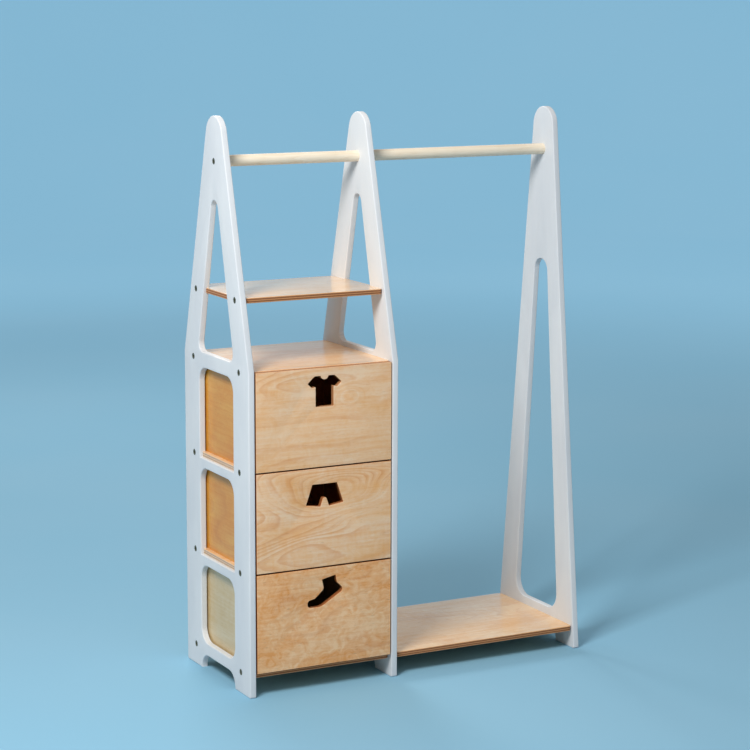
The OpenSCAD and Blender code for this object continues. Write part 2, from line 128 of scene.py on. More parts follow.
class RackBoards(PropertyGroup):
    arris: length("Arris", "Radius of the boards' softened edges", 0.0008)
    corner: length("Corner radius", "Radius of the boards' corners", 0.01)
    tongue: length("Tongue depth", "Depth of the tongues in the gables", 0.0075)
    tongue_inset: length("Tongue inset", "From a board's edge to its tongue", 0.02)
    end_gap: length("End gap", "Clearance at the boards' shoulders", 0.0001)
    layer: length("Layer", "Thickness of one layer of the plywood", 0.0024)
    pale: colour("Pale veneer", "Palest wood of the shelves", 245, 214, 174)
    warm: colour("Warm veneer", "Warm patches of the shelves", 238, 186, 126)
    ring: colour("Growth rings", "Darker lines of the growth rings", 212, 146, 86)
    edge_pale: colour("Pale layer", "Long-grain layers on the edges", 216, 154, 102)
    edge_dark: colour("Dark layer", "End-grain layers on the edges", 142, 86, 50)
    end_pale: colour("Pale end layer", "Paler layers on the dividers' ends", 234, 206, 175)
    end_dark: colour("Dark end layer", "Darker layers on the dividers' ends", 196, 165, 140)


class RackDrawers(PropertyGroup):
    arris: length("Arris", "Radius of the fronts' softened edges", 0.0009)
    top_arris: length("Top arris", "Radius of the top front's softened edges", 0.0004)
    end_step: length("End step", "Step from the end of a front to the side behind it", 0.0001)
    cutter: length("Cutter radius", "Radius that the cutter leaves in the cut-outs", 0.0015)
    shirt_drop: length("Shirt drop", "From the front's top to the T-shirt", 0.018)
    shorts_drop: length("Shorts drop", "From the front's top to the shorts", 0.0365)
    sock_drop: length("Sock drop", "From the front's top to the sock", 0.02)
    front_pale: colour("Pale front veneer", "Palest wood of the drawer fronts", 250, 212, 173)
    front_warm: colour("Warm front veneer", "Warm patches of the drawer fronts", 247, 186, 122)
    front_ring: colour("Front growth rings", "Darker lines of the drawer fronts", 226, 145, 78)
    low_pale: colour("Pale low front", "Palest wood of the bottom front", 249, 203, 154)
    low_warm: colour("Warm low front", "Warm patches of the bottom front", 242, 167, 94)
    low_ring: colour("Low front rings", "Darker lines of the bottom front", 208, 121, 56)
    # Front edge layers: the cut-out rims' own orange-brown, made darker as painted shade for the gaps
    # between the fronts, where these edges show.
    edge_pale: colour("Pale front layer", "Paler layers on the fronts' edges", 206, 124, 66)
    edge_dark: colour("Dark front layer", "Darker layers on the fronts' edges", 104, 54, 28)
    side_pale: colour("Pale side veneer", "Palest wood of the drawer boxes", 226, 166, 74)
    side_warm: colour("Warm side veneer", "Warm patches of the drawer boxes", 216, 132, 30)
    side_ring: colour("Side growth rings", "Darker lines of the drawer boxes", 188, 102, 28)
    last_pale: colour("Pale bottom box", "Palest wood of the bottom box", 216, 194, 154)
    last_warm: colour("Warm bottom box", "Warm patches of the bottom box", 204, 170, 114)
    last_ring: colour("Bottom box rings", "Darker lines of the bottom box", 196, 160, 106)


class RackRails(PropertyGroup):
    chamfer: length("End chamfer", "Chamfer on the rails' hidden ends", 0.001)
    pale: colour("Pale wood", "Pale wood of the rails", 250, 236, 213)
    streak: colour("Streaks", "Darker grain lines of the rails", 228, 205, 172)


class RackScrews(PropertyGroup):
    head: length("Head diameter", "Diameter of the gable screw heads", 0.0145)
    head_height: length("Head height", "Thickness of the gable screw heads", 0.003)
    shank: length("Shank diameter", "Diameter of the gable screw shanks", 0.005)
    reach: length("Screw length", "Length of the gable screws with their heads", 0.05)
    socket: length("Socket width", "Width across the flats of the hexagon sockets", 0.005)
    rim: length("Rim", "Size of the heads' softened rims", 0.0006)
    socket_rim: length("Socket rim", "Chamfer on the rims of the sockets", 0.0003)
    tip: length("Tip", "Chamfer on the tips of the screws", 0.001)
    seat_gap: length("Seat gap", "Clearance round the heads and shanks", 0.00005)
    rail_socket: length("Rail socket depth", "Depth of the sockets for the rails", 0.004)
    rail_gap: length("Rail gap", "Clearance round the ends of the rails", 0.0001)
    steel: colour("Steel", "Blackened steel of the screws", 124, 112, 88)
    worn: colour("Worn steel", "Brighter steel where the blacking is thin", 190, 180, 154)


class RackStudio(PropertyGroup):
    floor: colour("Floor", "Pale colour of the floor and backdrop", 137, 186, 210)
    bounce: colour("Bounce", "Colour of the light from the floor", 170, 198, 216)
    glow: colour("Glow", "Colour of the backdrop's glow", 162, 222, 255)
    backdrop_glow: amount("Backdrop glow", "Brightness of the backdrop's glow", 0.41, max=1.0,
                          subtype="FACTOR")
    flat_radius: length("Flat radius", "Radius of the floor's flat part", 8.5)
    wall_radius: length("Wall radius", "Radius of the sweep from floor to backdrop", 4.0)
    key_size: length("Key size", "Width of the front lamp", 1.1)
    key_power: amount("Key power", "Power of the front lamp", 101.0, unit="POWER")
    back_size: length("Back size", "Width of the back lamp", 1.4)
    back_power: amount("Back power", "Power of the back lamp", 52.0, unit="POWER")
    ambient: amount("Ambient", "Strength of the light from all round", 0.37)


# Outlines and sections


def unit(vectors):
    """Rows of vectors, each divided by its length."""
    return vectors / np.linalg.norm(vectors, axis=1, keepdims=True)


def outline(corners, hole=False, step=radians(4)):
    """Points and outward normals of a closed outline with rounded corners.

    corners is an anticlockwise list of (x, y, radius). Each corner is cut back by radius times the
    tangent of half its turn, and its arc swings the normal of the side before it round to that of
    the side after it, in steps of at most step. A sharp corner is one point whose normal is the
    mitre (n1 + n2) / (1 + n1 . n2). A hole runs the other way round, so that its normals, which lie
    to the right of the run, point out of the wood too.
    """
    corners = np.array(corners[::-1] if hole else corners, float)
    place, radius = corners[:, :2], corners[:, 2]
    before = unit(place - np.roll(place, 1, 0))
    after = np.roll(before, -1, 0)
    cross = before[:, 0] * after[:, 1] - before[:, 1] * after[:, 0]
    turn = np.arctan2(cross, (before * after).sum(1))
    side = np.stack([before[:, 1], -before[:, 0]], 1)
    next_side = np.roll(side, -1, 0)
    mitre = (side + next_side) / (1 + (side * next_side).sum(1, keepdims=True))
    swing = (radius * np.sign(turn))[:, None]
    start = place - before * (radius * np.tan(np.abs(turn) / 2))[:, None]
    centre = start - side * swing
    count = np.where(radius > 0, np.ceil(np.abs(turn) / step).astype(int) + 1, 1)
    of = np.repeat(np.arange(len(corners)), count)
    order = np.arange(len(of)) - (np.cumsum(count) - count)[of]
    angle = turn[of] * order / np.maximum(count[of] - 1, 1)
    c, s = np.cos(angle), np.sin(angle)
    swung = np.stack([side[of, 0] * c - side[of, 1] * s, side[of, 0] * s + side[of, 1] * c], 1)
    normal = np.where(radius[of, None] > 0, swung, mitre[of])
    return centre[of] + normal * swing[of], normal


def ring(x, y, radius, count=40):
    """Points and normals of a round hole, run clockwise, with normals towards its centre."""
    angle = -np.arange(count) * tau / count
    away = np.stack([np.cos(angle), np.sin(angle)], 1)
    return np.array([x, y]) + radius * away, -away


def plate_section(thickness, arris, steps=6):
    """Edge of a plate as rows of (inset, height): a quarter round, the flat edge, a quarter round."""
    angle = np.linspace(0, pi / 2, steps + 1)
    low = arris * np.stack([1 - np.sin(angle), 1 - np.cos(angle)], 1)
    high = low[::-1] * [1, -1] + [0, thickness]
    return np.concatenate([low, high])


def bore_section(steps):
    """Wall of a stepped bore as rows of (inset, height), from (radius, start, end) for each step."""
    return np.array([(radius - steps[0][0], z) for radius, *ends in steps for z in ends])


def cap_faces(rows):
    """Triangles, anticlockwise, that fill one face of a plate between its outline and its holes.

    rows gives the points of each, with the number of the first one.
    """
    flat = np.concatenate([row for row, _ in rows])
    index = np.concatenate([first + np.arange(len(row)) for row, first in rows])
    lines = [[Vector((x, y, 0.0)) for x, y in (row * 1000).tolist()] for row, _ in rows]
    corner = np.array(tessellate_polygon(lines))
    a, b, c = flat[corner[:, 0]], flat[corner[:, 1]], flat[corner[:, 2]]
    area = (b - a)[:, 0] * (c - a)[:, 1] - (b - a)[:, 1] * (c - a)[:, 0]
    corner[area < 0] = corner[area < 0][:, ::-1]
    return index[corner]


def strips(first, rows, count):
    """Quads between the rows of a grid whose rows close on themselves."""
    j = np.arange(count)
    i = np.arange(rows - 1)[:, None] * count
    k = (j + 1) % count
    quads = np.stack(np.broadcast_arrays(i + j, i + k, i + k + count, i + j + count), -1)
    return first + quads.reshape(-1, 4)


def new_object(name, data):
    thing = bpy.data.objects.new(name, data)
    bpy.context.scene.collection.objects.link(thing)
    return thing


def make_piece(name, places, smooth_faces, flat_faces, crease=radians(40)):
    """Mesh object from its points, its rounded faces and its flat ones."""
    mesh = bpy.data.meshes.new(name)
    faces = [f for block in (*smooth_faces, *flat_faces) for f in block.tolist()]
    mesh.from_pydata(places.tolist(), [], faces)
    rounded = sum(len(block) for block in smooth_faces)
    mesh.polygons.foreach_set("use_smooth", np.arange(len(faces)) < rounded)
    mesh.set_sharp_from_angle(angle=crease)
    mesh.update()
    return new_object(name, mesh)


def plate(name, corner, across, up, loops):
    """Flat board with rounded edges and stepped holes.

    Each loop is (points, normals, section). A section row (inset, height) carries the whole loop to
    points - inset * normals at that height over the board's first face, which lies in the plane of
    across and up through corner. The first rows and the last rows of all loops bound its two faces.
    """
    turned = np.array([across, up, across.cross(up)])
    places, walls, low, high, first = [], [], [], [], 0
    for points, normals, section in loops:
        grid = points[None] - section[:, 0, None, None] * normals[None]
        height = np.broadcast_to(section[:, 1, None, None], (*grid.shape[:2], 1))
        places.append(np.concatenate([grid, height], 2).reshape(-1, 3))
        walls.append(strips(first, len(section), len(points)))
        low.append((grid[0], first))
        high.append((grid[-1], first + (len(section) - 1) * len(points)))
        first += len(section) * len(points)
    flat = [cap_faces(low)[:, ::-1], cap_faces(high)]
    return make_piece(name, np.concatenate(places) @ turned + np.array(corner), walls, flat)


def turned_rod(name, places, along, profile, count, bend=None):
    """Turned piece, repeated at each place.

    profile is rows of (reach, radius) from pole to pole. Point (i, j) of a copy lies at
    place + reach[i] * along + radius[i] * (cos a[j] * side + sin a[j] * other side). bend gives a
    factor on the radius for each row and angle, such as a hexagon's. All copies are one mesh.
    """
    profile = np.array(profile, float)
    reach, radius = profile[:, 0], profile[:, 1]
    along = np.array(along, float)
    side = np.array(UP if abs(along[2]) < 0.5 else RIGHT, float)
    other = np.cross(along, side)
    angle = np.arange(count) * tau / count
    radius = radius[:, None] * (np.ones((1, count)) if bend is None else bend(angle))
    ring_at = np.cos(angle)[:, None] * side + np.sin(angle)[:, None] * other
    body = reach[1:-1, None, None] * along + radius[1:-1, :, None] * ring_at
    copy = np.concatenate([body.reshape(-1, 3), reach[:1, None] * along, reach[-1:, None] * along])
    rows, size = len(profile) - 2, len(copy)
    last = (rows - 1) * count
    j = np.arange(count)
    k = (j + 1) % count
    start_cap = np.stack([k, j, np.full(count, size - 2)], 1)
    end_cap = np.stack([last + j, last + k, np.full(count, size - 1)], 1)
    shift = np.arange(len(places))[:, None, None] * size
    blocks = [(faces + shift).reshape(-1, faces.shape[1])
              for faces in (strips(0, rows, count), start_cap, end_cap)]
    copies = np.array(places, float)[:, None] + copy
    return make_piece(name, copies.reshape(-1, 3), blocks, [])


def peak(top, half, rise, radius):
    """Corner at which two sides that lean in from the base would meet over a round tip."""
    fall = rise - radius
    lean = atan(half / fall) - asin(radius / np.hypot(half, fall))
    return (0, top - radius + radius / sin(lean), radius)


def taper(half, floor, top, tip_radius, corner_radius):
    """Corners of a tall triangle with a round tip."""
    return [(-half, floor, corner_radius), (half, floor, corner_radius),
            peak(top, half, top - floor, tip_radius)]


def upright_window(half, floor, top, floor_radius, top_radius):
    """Corners of a window with upright sides."""
    return [(-half, floor, floor_radius), (half, floor, floor_radius),
            (half, top, top_radius), (-half, top, top_radius)]


def finish_piece(piece, node, material):
    """Stands the piece in for its CAD node, on the same body, with its material."""
    piece.data.materials.append(material)
    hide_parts(node)
    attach(piece, FRAME["nodes"][node]["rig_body"])


# Materials


ROW_LENGTH, COLUMN_STEP, ROW_STEP = 12, 190, 260


class Graph:
    """A node tree that is filled from left to right."""

    def __init__(self, tree):
        self.tree = tree
        self.step = 0

    def put(self, sockets, values):
        for key, value in values.items():
            if isinstance(value, bpy.types.NodeSocket):
                self.tree.links.new(value, sockets[key])
            else:
                sockets[key].default_value = value

    def add(self, kind, inputs=(), **settings):
        node = self.tree.nodes.new("ShaderNode" + kind)
        row, column = divmod(self.step, ROW_LENGTH)
        node.location = (column * COLUMN_STEP, -row * ROW_STEP)
        self.step += 1
        for key, value in settings.items():
            setattr(node, key, value)
        self.put(node.inputs, dict(inputs))
        return node

    def math(self, operation, *values, clamp=False):
        node = self.add("Math", enumerate(values), operation=operation, use_clamp=clamp)
        return node.outputs[0]

    def times(self, a, b, plus=0.0, clamp=False):
        """a * b + plus."""
        return self.math("MULTIPLY_ADD", a, b, plus, clamp=clamp)

    def vector(self, operation, *values):
        node = self.add("VectorMath", enumerate(values), operation=operation)
        return node.outputs["Value" if operation in ("DOT_PRODUCT", "LENGTH") else "Vector"]

    def mix(self, factor, a, b):
        return self.add("Mix", {0: factor, 6: a, 7: b}, data_type="RGBA").outputs[2]

    def ease(self, value, low, high, to_low=0.0, to_high=1.0):
        """Smooth step from low to high."""
        inputs = {"Value": value, "From Min": low, "From Max": high,
                  "To Min": to_low, "To Max": to_high}
        return self.add("MapRange", inputs, interpolation_type="SMOOTHSTEP").outputs[0]

    def noise(self, vector, x, y, z=1.0, detail=2.0, rough=0.5, warp=0.0):
        """Noise with x, y and z waves per metre of vector."""
        scaled = self.vector("MULTIPLY", vector, (x, y, z))
        inputs = {"Vector": scaled, "Scale": 1.0, "Detail": detail, "Roughness": rough,
                  "Distortion": warp}
        return self.add("TexNoise", inputs).outputs["Fac"]

    def sway(self, value, *parts, clamp=False):
        """value plus amount * (noise - 1/2) for each (noise, amount) of parts."""
        for noise, amount in parts:
            around = self.math("SUBTRACT", noise, 0.5)
            value = self.times(around, amount, value, clamp)
        return value

    def split(self, vector):
        return self.add("SeparateXYZ", {0: vector}).outputs

    def join(self, x, y, z):
        return self.add("CombineXYZ", {0: x, 1: y, 2: z}).outputs[0]

    def place(self, name, build, values):
        """Outputs of the named group, which is built the first time it is asked for."""
        tree = bpy.data.node_groups.get(name) or build()
        return self.add("Group", values, node_tree=tree).outputs

    def surface(self, height=None, bump=0.0, distance=RELIEF, **values):
        """Principled surface with these values, a relief of its height, and the output."""
        inputs = {key.replace("_", " "): value for key, value in values.items()}
        if height is not None:
            relief = {"Height": height, "Distance": distance, "Strength": bump}
            inputs["Normal"] = self.add("Bump", relief).outputs["Normal"]
        shader = self.add("BsdfPrincipled", inputs)
        self.add("OutputMaterial", {"Surface": shader.outputs["BSDF"]})


def shader_group(name, inputs, outputs):
    """Empty node group with these sockets for each kind: its graph, its inputs and its outputs."""
    tree = bpy.data.node_groups.new(name, "ShaderNodeTree")
    for side, kinds in (("INPUT", inputs), ("OUTPUT", outputs)):
        for kind, labels in kinds.items():
            for label in labels:
                tree.interface.new_socket(label, in_out=side, socket_type="NodeSocket" + kind)
    start, end = tree.nodes.new("NodeGroupInput"), tree.nodes.new("NodeGroupOutput")
    start.location = (-COLUMN_STEP, 0)
    end.location = (ROW_LENGTH * COLUMN_STEP, 0)
    return Graph(tree), start.outputs, end.inputs


def birch_ply_group():
    """Clear birch plywood, worked out in the solid board.

    Vector is in metres from the board's middle: X along the grain, Y across it and Z through the
    thickness. Growth rings are contour lines of a slow noise, raised round the knot by
    exp(-((x - kx) / a)^2 - ((y - ky) / b)^2). Patches, mottle and curl turn the pale wood warm. The
    layers repeat along Z, and all but the two outer ones only come to the surface on the edges.
    """
    graph, given, made = shader_group(
        "birch_ply",
        {"Vector": ("Vector", "Knot Place", "Knot Spread"),
         "Float": ("Seed", "Half Thickness", "Layer", "Rings", "Figure", "Patches", "Mottle",
                   "Curl", "Flecks", "Gloss"),
         "Color": ("Pale", "Warm", "Ring", "Edge Pale", "Edge Dark")},
        {"Color": ("Color",), "Float": ("Roughness", "Height", "Varnish")})
    math, times, noise = graph.math, graph.times, graph.noise
    ease, mix = graph.ease, graph.mix
    x, y, z = graph.split(given["Vector"])
    sheet = graph.join(x, y, times(given["Seed"], 1.7))
    knot_a, knot_b, knot_rise = graph.split(given["Knot Spread"])
    from_knot = graph.vector("SUBTRACT", graph.join(x, y, 0.0), given["Knot Place"])
    in_knot = graph.vector("DIVIDE", from_knot, graph.join(knot_a, knot_b, 1.0))
    far = graph.vector("DOT_PRODUCT", in_knot, in_knot)
    fall = math("EXPONENT", times(far, -1.0))
    slow = noise(sheet, 2.1, 7.5, detail=1.2, rough=0.35, warp=0.3)
    wobble = noise(sheet, 9.0, 34.0)
    level = times(wobble, 0.03, times(fall, knot_rise, slow))
    ring_at = times(level, given["Rings"])
    saw = math("FRACT", ring_at)
    line = times(math("POWER", saw, 2.5), ease(saw, 1.0, 0.85))
    along_rings = graph.join(ring_at, given["Seed"], 0.0)
    band = noise(along_rings, 0.8, 1.0, detail=4.0, rough=0.7)
    patch = noise(sheet, 5.0, 11.0, rough=0.55, warp=0.6)
    mottle = noise(sheet, 31.0, 36.0, detail=3.5, rough=0.62, warp=1.8)
    curl = noise(sheet, 85.0, 19.0, detail=1.5, warp=0.4)
    calm = noise(sheet, 4.0, 9.0, 2.0, detail=1.0)
    presence = ease(calm, 0.4, 0.62, 0.1, 1.0)
    streak = noise(sheet, 6.0, 170.0, detail=2.5, rough=0.6)
    fibre = noise(sheet, 35.0, 1100.0, rough=0.6)

    curled = graph.sway(0.5, (curl, presence))
    warm = graph.sway(0.45, (patch, given["Patches"]), (band, times(given["Figure"], 2.4)),
                      (mottle, given["Mottle"]), (curled, given["Curl"]), (streak, 0.65))
    warm = math("ADD", warm, 0.0, clamp=True)
    dark = times(times(line, presence), given["Figure"])
    dark = graph.sway(dark, (band, times(given["Figure"], 0.6)), (fibre, 0.5),
                      (streak, 0.35), (mottle, times(given["Mottle"], 0.25)))
    dark = math("ADD", dark, 0.06, clamp=True)
    speck = ease(noise(sheet, 70.0, 520.0, detail=1.0), 0.66, 0.76)
    speck = times(speck, given["Flecks"])
    face = mix(warm, given["Pale"], given["Warm"])
    face = mix(dark, face, given["Ring"])
    face = mix(speck, face, given["Edge Dark"])

    layers = math("DIVIDE", math("ADD", z, given["Half Thickness"]), given["Layer"])
    crossed = math("MODULO", math("FLOOR", layers), 2.0)
    glue = ease(math("PINGPONG", layers, 0.5), 0.12, 0.0)
    skin = math("SUBTRACT", given["Half Thickness"], FACE_VENEER)
    inner = math("LESS_THAN", math("ABSOLUTE", z), skin)
    grain = noise(given["Vector"], 210.0, 210.0, 2600.0, rough=0.6)
    edge = mix(crossed, given["Edge Pale"], given["Edge Dark"])
    edge = mix(ease(grain, 0.3, 0.7, 0.0, 0.4), edge, given["Edge Dark"])
    edge = mix(times(glue, 0.5), edge, GLUE_LINE)

    matt = times(inner, 0.25, 0.3)
    dull = times(inner, -0.75, 1.0)
    relief = times(fibre, 0.6, times(line, -0.1))
    relief = times(speck, -0.8, relief)
    cut = times(glue, -0.8, times(grain, 0.8))
    graph.put(made, {
        "Color": mix(inner, face, edge),
        "Roughness": times(streak, 0.12, matt),
        "Varnish": times(given["Gloss"], dull),
        "Height": times(inner, math("SUBTRACT", cut, relief), relief),
    })
    return graph.tree


def paint_film_group():
    """Thin white paint on plywood.

    Vector is in metres from the panel's middle: X along the veneer's grain and Z through the
    thickness. The veneer telegraphs through as long shallow lines, and the layers as shallow bands
    sin(pi z / layer) that only show on the edges, under a fine roller stipple.
    """
    graph, given, made = shader_group(
        "paint_film",
        {"Vector": ("Vector",), "Float": ("Seed", "Layer"), "Color": ("Paint", "Mottle")},
        {"Color": ("Color",), "Float": ("Roughness", "Height")})
    math, times, noise = graph.math, graph.times, graph.noise
    x, y, z = graph.split(given["Vector"])
    sheet = graph.join(x, y, times(given["Seed"], 1.3, z))
    cloud = noise(sheet, 2.5, 6.0, detail=3.0, rough=0.6)
    veneer = noise(sheet, 9.0, 260.0, detail=3.0, rough=0.6)
    stipple = noise(given["Vector"], 900.0, 900.0, 900.0, detail=1.0)
    band = math("SINE", math("DIVIDE", times(z, pi), given["Layer"]))
    thin = graph.sway(graph.ease(cloud, 0.35, 0.7), (veneer, 0.5), clamp=True)
    relief = times(veneer, 0.7, times(stipple, 0.35))
    graph.put(made, {
        "Color": graph.mix(thin, given["Paint"], given["Mottle"]),
        "Roughness": times(cloud, 0.12, 0.4),
        "Height": times(band, 0.12, relief),
    })
    return graph.tree


def handling_group():
    """Faint smears and fine scratches, as masks from nought to one."""
    graph, given, made = shader_group("handling", {"Vector": ("Vector",), "Float": ("Seed",)},
                                      {"Float": ("Smear", "Scratch")})
    x, y, z = graph.split(given["Vector"])
    moved = graph.join(graph.math("ADD", x, given["Seed"]), y, z)
    smear = graph.noise(moved, 14.0, 9.0, 12.0, detail=4.0, rough=0.65, warp=0.8)
    scratch = graph.noise(moved, 40.0, 900.0, 320.0, rough=0.7)
    graph.put(made, {"Smear": graph.ease(smear, 0.4, 0.75),
                     "Scratch": graph.ease(scratch, 0.6, 0.75)})
    return graph.tree


def middle_of(node):
    """Middle of a CAD node's box."""
    low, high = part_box(node)
    return (low + high) / 2


def new_material(name):
    """Empty material and its graph."""
    material = bpy.data.materials.new(name)
    material.use_nodes = True
    material.node_tree.nodes.clear()
    return material, Graph(material.node_tree)


def piece_material(name, node, grain, across):
    """Empty material, its graph, and its coordinates.

    They are Object coordinates, measured from the node's middle along its grain, across it and
    through it.
    """
    material, graph = new_material(name + "_" + node)
    turned = Matrix((grain, across, grain.cross(across))).transposed()
    inputs = {"Vector": graph.add("TexCoord").outputs["Object"], "Location": middle_of(node),
              "Rotation": turned.to_euler("XYZ")}
    mapping = graph.add("Mapping", inputs, vector_type="TEXTURE")
    return material, graph, mapping.outputs["Vector"]


def ply_material(node, grain, across, thickness, tints, seed, edges=None, rings=12.0, figure=0.5,
                 patches=1.6, mottle=0.8, curl=1.0, flecks=0.3, gloss=0.65,
                 knot=(0, 0, 0), spread=(0.1, 0.05, 0.0)):
    """Clear plywood of one board, with its own seed, tints and figure.

    It has the odd number of layers, three or more, that comes nearest to the usual layer.
    """
    boards = bpy.context.scene.rack_boards
    material, graph, vector = piece_material("ply", node, grain, across)
    count = max(3, round(thickness / boards.layer / 2 - 0.5) * 2 + 1)
    pale, warm, ring_tint = tints
    edge_pale, edge_dark = edges or (boards.edge_pale, boards.edge_dark)
    ply = graph.place("birch_ply", birch_ply_group, {
        "Vector": vector, "Seed": seed, "Half Thickness": thickness / 2,
        "Layer": thickness / count, "Pale": pale, "Warm": warm, "Ring": ring_tint,
        "Edge Pale": edge_pale, "Edge Dark": edge_dark, "Rings": rings, "Figure": figure,
        "Patches": patches, "Mottle": mottle, "Curl": curl, "Flecks": flecks, "Gloss": gloss,
        "Knot Place": knot, "Knot Spread": spread,
    })
    graph.surface(ply["Height"], 0.35, Base_Color=ply["Color"], Roughness=ply["Roughness"],
                  Specular_IOR_Level=0.2, Coat_Weight=ply["Varnish"], Coat_Roughness=0.16)
    return material


def painted_material(node, seed):
    """White painted plywood of one gable."""
    scene = bpy.context.scene
    material, graph, vector = piece_material("paint", node, UP, -BACK)
    film = graph.place("paint_film", paint_film_group, {
        "Vector": vector, "Seed": seed, "Layer": scene.rack_boards.layer,
        "Paint": scene.rack_gables.paint, "Mottle": scene.rack_gables.mottle,
    })
    graph.surface(film["Height"], 0.4, Base_Color=film["Color"], Roughness=film["Roughness"],
                  Specular_IOR_Level=0.3)
    return material


# Pieces


def gable_bores(node):
    """Screw holes and rail sockets of a gable, as loops in depth and height.

    Steps run from the gable's left face to its right one. Heads sit in the outer faces of the left
    and right gables and in the right face of the middle one.
    """
    screws = bpy.context.scene.rack_screws
    low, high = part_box(node)
    thick = high.x - low.x
    shank, head = screws.shank / 2 + screws.seat_gap, screws.head / 2 + screws.seat_gap
    seat = screws.head_height + screws.seat_gap
    rail_low, rail_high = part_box("short_rail")
    socket = (rail_high.z - rail_low.z) / 2 + screws.rail_gap
    near, far = screws.rail_socket, thick - screws.rail_socket
    left_socket, right_socket = (socket, 0, near), (socket, far, thick)
    left_head = [(head, 0, seat), (shank, seat, thick)]
    right_head = [(shank, 0, thick - seat), (head, thick - seat, thick)]
    rows, shelf, rail = screw_places()
    holes = {
        "left_gable": [(rows + shelf, left_head),
                       (rail, [left_head[0], (shank, seat, far), right_socket])],
        "middle_gable": [(rows[:2], [(shank, 0, thick)]), (rows[2:] + shelf, right_head),
                         (rail, [left_socket, (shank, near, far), right_socket])],
        "right_gable": [(rows[:2], right_head),
                        (rail, [left_socket, (shank, near, thick - seat), right_head[1]])],
    }
    return [(*ring(y, z, steps[0][0]), bore_section(steps))
            for places, steps in holes[node] for y, z in places]


def screw_places():
    """Depths and heights of the gable screws: at the cabinet's boards, the shelf and the rail.

    The rows' distances from the middle of the depth come from the reach of the CAD screws.
    """
    head = bpy.context.scene.rack_screws.head / 2
    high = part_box("left_gable_screws")[1]
    spots = np.array([v.co for v in FRAME["nodes"]["left_gable_screws"].data.vertices])
    shelf_low, shelf_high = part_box("upper_shelf")
    near = (spots[:, 2] > shelf_low.z - head) & (spots[:, 2] < shelf_high.z + head)
    screw_y, upper_y = high.y - head, float(spots[near, 1].max()) - head
    rows = [(y, middle_of(name).z) for name in CABINET_BOARDS for y in (-screw_y, screw_y)]
    shelf = [(y, middle_of("upper_shelf").z) for y in (-upper_y, upper_y)]
    return rows, shelf, [(0, middle_of("short_rail").z)]


class RACK_OT_gables(Operator):
    """Build the three painted gables"""
    bl_idname = "rack.gables"
    bl_label = "Painted gables"

    def execute(self, context):
        size = context.scene.rack_gables
        for seed, node in enumerate(GABLES):
            low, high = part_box(node)
            half, thick, top = high.y, high.x - low.x, high.z
            wide, bend = size.window_half, size.window_radius
            arch = [(-wide, 0, 0), (-wide, size.arch, bend), (wide, size.arch, bend), (wide, 0, 0)]
            feet = [(-half, 0, size.foot_radius), *arch, (half, 0, size.foot_radius)]
            if node == "right_gable":
                shape = [*feet, peak(top, half, top, size.tip_radius)]
                holes = [taper(size.slot_half, size.slot_floor, size.slot_top,
                               size.slot_tip_radius, size.slot_radius)]
            else:
                tip = peak(top, half, top - size.shoulder, size.tip_radius)
                shape = [*feet, (half, size.shoulder, 0), tip, (-half, size.shoulder, 0)]
                upper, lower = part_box("upper_divider")[0].z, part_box("lower_divider")[0].z
                holes = [
                    taper(size.triangle_half, size.triangle_floor, size.triangle_top,
                          size.triangle_radius, size.triangle_radius),
                    upright_window(wide, upper, size.triangle_floor - size.neck_bar, 0, bend),
                    upright_window(wide, lower, upper - size.rung, 0, bend),
                    upright_window(wide, size.arch + size.foot_bar, lower - size.rung, bend, bend),
                ]
            section = plate_section(thick, size.arris)
            loops = [(*outline(shape), section)]
            loops += [(*outline(hole, hole=True), section) for hole in holes]
            loops += gable_bores(node)
            piece = plate("painted_" + node, (low.x, 0, 0), BACK, UP, loops)
            finish_piece(piece, node, painted_material(node, seed))
        return {"FINISHED"}


class RACK_OT_boards(Operator):
    """Build the shelves, the dividers and the base"""
    bl_idname = "rack.boards"
    bl_label = "Clear plywood boards"

    def execute(self, context):
        size = context.scene.rack_boards
        looks = {
            "upper_shelf": dict(seed=3.1, figure=0.35, gloss=1.0),
            "cabinet_top": dict(seed=8.4, figure=0.4),
            "upper_divider": dict(seed=5.2, edges=(size.end_pale, size.end_dark)),
            "lower_divider": dict(seed=6.9, edges=(size.end_pale, size.end_dark)),
            "cabinet_base": dict(seed=2.3),
            "low_shelf": dict(seed=9.7, figure=0.5, patches=1.8, gloss=0.9),
        }
        for node, look in looks.items():
            low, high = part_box(node)
            corner, shoulder = size.corner, size.tongue + size.end_gap
            front, back = low.y + size.tongue_inset, high.y - size.tongue_inset
            left, right = low.x + shoulder, high.x - shoulder
            tongue = [(left, back, 0), (low.x, back, 0), (low.x, front, 0), (left, front, 0)]
            if node == "low_shelf":
                left, tongue = low.x, []
            shape = [(left, low.y, corner), (right, low.y, corner), (right, front, 0),
                     (high.x, front, 0), (high.x, back, 0), (right, back, 0),
                     (right, high.y, corner), (left, high.y, corner), *tongue]
            thick = high.z - low.z
            loops = [(*outline(shape), plate_section(thick, size.arris))]
            piece = plate("ply_" + node, (0, 0, low.z), RIGHT, BACK, loops)
            tints = (size.pale, size.warm, size.ring)
            material = ply_material(node, RIGHT, BACK, thick, tints, **look)
            finish_piece(piece, node, material)
        return {"FINISHED"}


def mirror(half):
    """The left half of a garment's outline, from its right half."""
    return [(-x, y, r) for x, y, r in half[::-1]]


def shirt(cutter):
    """T-shirt, 84 mm wide, drawn down from the top of its shoulders. The neck is a round dip."""
    neck, drop = 10, 8.5
    angle = np.linspace(np.arccos((neck - drop) / neck), 0, 5)
    dip = [(neck * sin(a), neck - drop - neck * cos(a), 0) for a in angle[:-1]]
    half = [(22.5, -70, cutter), (22.5, -24, cutter), (31.5, -26.5, cutter),
            (42.5, -16, cutter), (25, 0, 6), *dip]
    return [*half, (0, -drop, 0), *mirror(half)]


def shorts(cutter):
    """Shorts, 94 mm wide, drawn down from the waist."""
    half = [(11, -52, cutter), (47, -46.5, cutter), (31, 0, cutter)]
    return [*half, *mirror(half), (0, -20, 5.5)]


